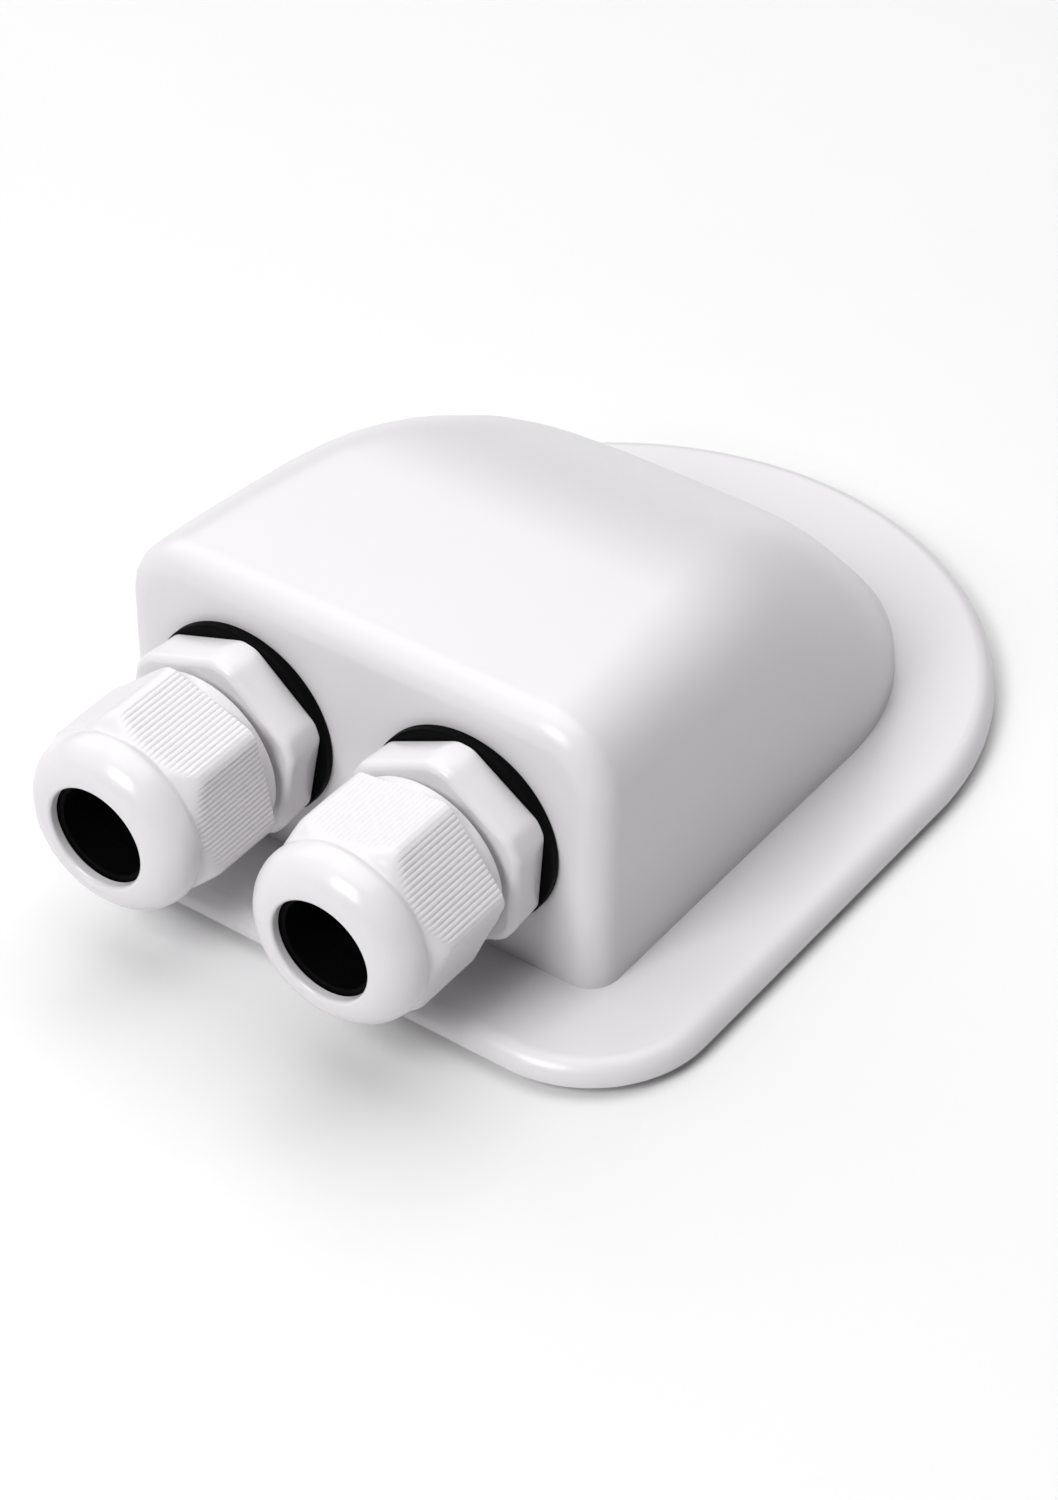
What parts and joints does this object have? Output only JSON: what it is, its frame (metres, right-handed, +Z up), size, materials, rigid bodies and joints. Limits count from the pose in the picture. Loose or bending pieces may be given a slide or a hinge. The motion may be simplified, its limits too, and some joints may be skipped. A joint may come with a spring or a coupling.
{
  "type": "roof cable entry box",
  "caption": "White moulded hood on a rounded bonding flange, with screw-cap cable glands side by side in its front wall, to lead cables weathertight through a roof.",
  "frame": {"origin": "on the bonding face, midway between the glands and under the outer face of the front wall", "axes": "+Z up from the roof, +Y from the front wall to the rounded back, so the glands point along -Y, and +X to the right seen from the glands"},
  "size_m": [0.1, 0.1362, 0.0414],
  "materials": {
    "shell_white": "satin-gloss moulded ABS",
    "nylon_white": "semi-matt moulded nylon",
    "rubber_black": "matt moulded rubber"
  },
  "bodies": {
    "box": {"housing": "shell_white", "left_gasket": "rubber_black", "right_gasket": "rubber_black", "left_gland_body": "nylon_white", "right_gland_body": "nylon_white", "left_lock_nut": "nylon_white", "right_lock_nut": "nylon_white"},
    "left_seal": {"left_seal_sleeve": "rubber_black"},
    "left_cap": {"left_cap_nut": "nylon_white"},
    "right_seal": {"right_seal_sleeve": "rubber_black"},
    "right_cap": {"right_cap_nut": "nylon_white"}
  },
  "joints": [
    {"name": "left_cap_feed", "type": "slide", "parent": "box", "child": "left_seal", "axis": [0, -1, 0], "range_m": [0, 0.00599]},
    {"name": "left_cap_turn", "type": "hinge", "parent": "left_seal", "child": "left_cap", "pos_m": [-0.01701, -0.0192, 0.02149], "axis": [0, -1, 0], "range_deg": [0, 1440]},
    {"name": "right_cap_feed", "type": "slide", "parent": "box", "child": "right_seal", "axis": [0, -1, 0], "range_m": [0, 0.00599]},
    {"name": "right_cap_turn", "type": "hinge", "parent": "right_seal", "child": "right_cap", "pos_m": [0.01701, -0.0192, 0.02149], "axis": [0, -1, 0], "range_deg": [0, 1440]}
  ],
  "couplings": [
    {"joint": "left_cap_turn", "follows": "left_cap_feed", "rad_per_m": 4188.8},
    {"joint": "right_cap_turn", "follows": "right_cap_feed", "rad_per_m": 4188.8}
  ]
}
